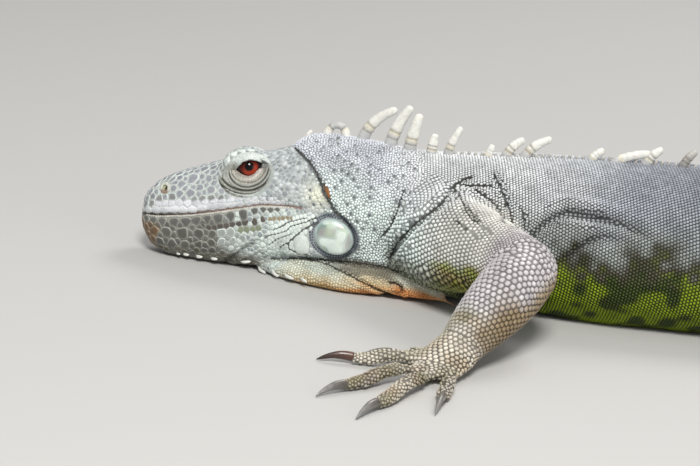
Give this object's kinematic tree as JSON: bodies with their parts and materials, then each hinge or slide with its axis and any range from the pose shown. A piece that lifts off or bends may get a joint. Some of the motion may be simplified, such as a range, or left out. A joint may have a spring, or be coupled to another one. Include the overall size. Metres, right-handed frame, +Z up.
{
  "type": "green iguana",
  "caption": "Life-size resting green iguana lying flat, chin and folded throat fan down, limbs splayed, spined crest along the back, long tapering curved tail",
  "frame": {"origin": "on the floor, under the middle of the model's box", "axes": "+Z up; -X towards the snout and +X towards the tail; -Y is the animal's left side"},
  "size_m": [1.2708, 0.402, 0.0827],
  "materials": {
    "body_skin": "dry scaly hide, pale mint grey to lilac grey, lime green low on the flank",
    "limb_skin": "smooth bead-like scales with a soft sheen, grey-white to olive tan",
    "throat_skin": "fine soft scales, cream grey to tan orange",
    "shield": "one large pearly smooth scale",
    "ear_disc": "thin smooth membrane",
    "eye": "wet clear cornea over a red-orange iris",
    "claw": "horn, grey and slightly clear at the tip"
  },
  "bodies": {
    "root": {"claw_foot_left_1": "claw", "claw_foot_left_2": "claw", "claw_foot_left_3": "claw", "claw_foot_left_4": "claw", "claw_foot_left_5": "claw", "claw_foot_right_1": "claw", "claw_foot_right_2": "claw", "claw_foot_right_3": "claw", "claw_foot_right_4": "claw", "claw_foot_right_5": "claw", "claw_hand_left_1": "claw", "claw_hand_left_2": "claw", "claw_hand_left_3": "claw", "claw_hand_left_4": "claw", "claw_hand_left_5": "claw", "claw_hand_right_1": "claw", "claw_hand_right_2": "claw", "claw_hand_right_3": "claw", "claw_hand_right_4": "claw", "claw_hand_right_5": "claw", "ear_left": "ear_disc", "ear_right": "ear_disc", "eye_left": "eye", "eye_right": "eye", "foot_left": "limb_skin", "foot_right": "limb_skin", "forearm_left": "limb_skin", "forearm_right": "limb_skin", "hand_left": "limb_skin", "hand_right": "limb_skin", "head": "body_skin", "jowl_shield_left": "shield", "jowl_shield_right": "shield", "lower_jaw": "body_skin", "neck": "body_skin", "pelvis": "body_skin", "shank_left": "limb_skin", "shank_right": "limb_skin", "tail_1": "body_skin", "tail_2": "body_skin", "tail_3": "body_skin", "tail_4": "body_skin", "tail_5": "body_skin", "thigh_left": "limb_skin", "thigh_right": "limb_skin", "throat_fan": "throat_skin", "trunk_front": "body_skin", "trunk_middle": "body_skin", "upper_arm_left": "limb_skin", "upper_arm_right": "limb_skin"}
  },
  "joints": []
}
